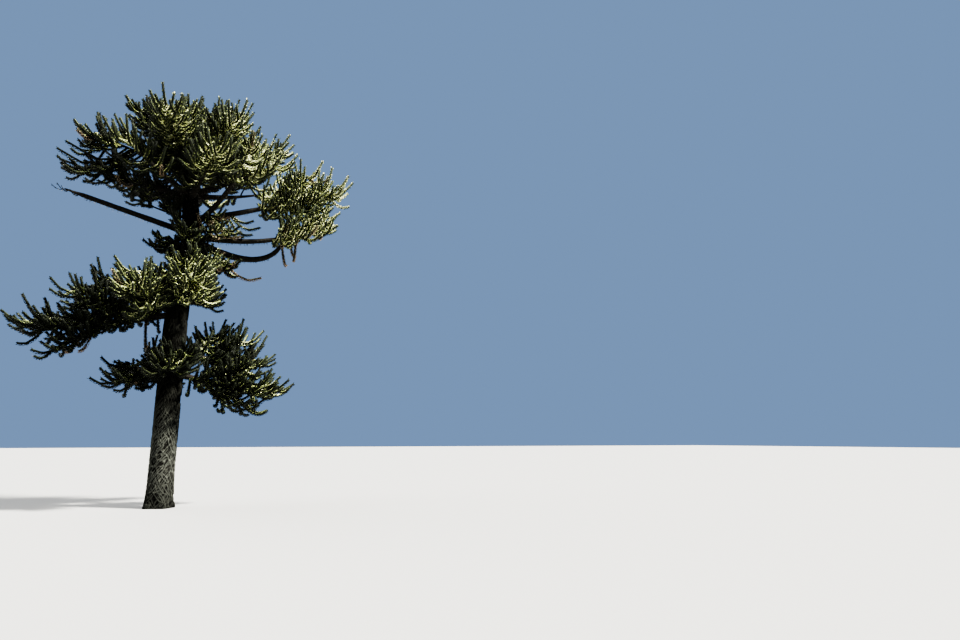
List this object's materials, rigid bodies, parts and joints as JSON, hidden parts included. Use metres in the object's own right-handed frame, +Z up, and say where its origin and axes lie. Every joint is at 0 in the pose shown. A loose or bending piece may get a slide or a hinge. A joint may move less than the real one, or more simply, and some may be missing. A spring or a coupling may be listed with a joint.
{
  "type": "monkey puzzle tree",
  "caption": "Old conifer with a bare lower trunk, an umbrella crown of curved needle-clad shoots, side tiers below it, and long bare boughs.",
  "frame": {"origin": "middle of the flat cut under the trunk, at ground level", "axes": "+Z up, -Y towards the viewer of the picture, +X to their right"},
  "size_m": [11.196, 7.6661, 14.8876],
  "materials": {
    "bark": "grey ridged bark, rough",
    "foliage": "stiff dark green needle leaves, satin",
    "dry_foliage": "dry grey-brown leaf stubs, rough"
  },
  "bodies": {
    "root": {"trunk": "bark", "bough_bare_left": "bark", "bough_drip_right": "bark", "bough_hook_right": "bark", "bough_hook_right_bend": "bark", "bough_low_right": "bark", "bough_low_right_back": "bark", "bough_mid_left_high": "bark", "bough_mid_left_low": "bark", "bough_reach_right": "bark", "bough_rise_right": "bark", "bough_skirt_back": "bark", "bough_skirt_back_left": "bark", "bough_skirt_back_right": "bark", "bough_skirt_front": "bark", "bough_skirt_front_left": "bark", "bough_skirt_front_right": "bark", "bough_skirt_left": "bark", "foliage_bare_left": "dry_foliage", "foliage_drip_right": "foliage", "foliage_hanging_tuft": "foliage", "foliage_hook_right": "foliage", "foliage_leader": "foliage", "foliage_low_back": "foliage", "foliage_low_front": "foliage", "foliage_low_left": "foliage", "foliage_low_right": "foliage", "foliage_low_right_back": "foliage", "foliage_low_tuft_left": "foliage", "foliage_mid_back_left": "foliage", "foliage_mid_back_right": "foliage", "foliage_mid_front": "foliage", "foliage_mid_front_left": "foliage", "foliage_mid_left_high": "foliage", "foliage_mid_left_low": "foliage", "foliage_mid_right": "foliage", "foliage_reach_right": "foliage", "foliage_rise_right": "foliage", "foliage_shoulder_back_left": "foliage", "foliage_shoulder_back_right": "foliage", "foliage_shoulder_front_left": "foliage", "foliage_shoulder_front_right": "foliage", "foliage_shoulder_left": "foliage", "foliage_shoulder_right": "foliage", "foliage_skirt_back": "foliage", "foliage_skirt_back_left": "foliage", "foliage_skirt_back_right": "foliage", "foliage_skirt_front": "foliage", "foliage_skirt_front_left": "foliage", "foliage_skirt_front_right": "foliage", "foliage_skirt_left": "foliage", "foliage_top_back": "foliage", "foliage_top_front": "foliage", "foliage_top_left": "foliage", "foliage_top_right": "foliage", "foliage_tuft_back": "foliage", "foliage_tuft_front": "foliage", "foliage_tuft_left": "foliage", "foliage_tuft_right": "foliage"}
  },
  "joints": []
}
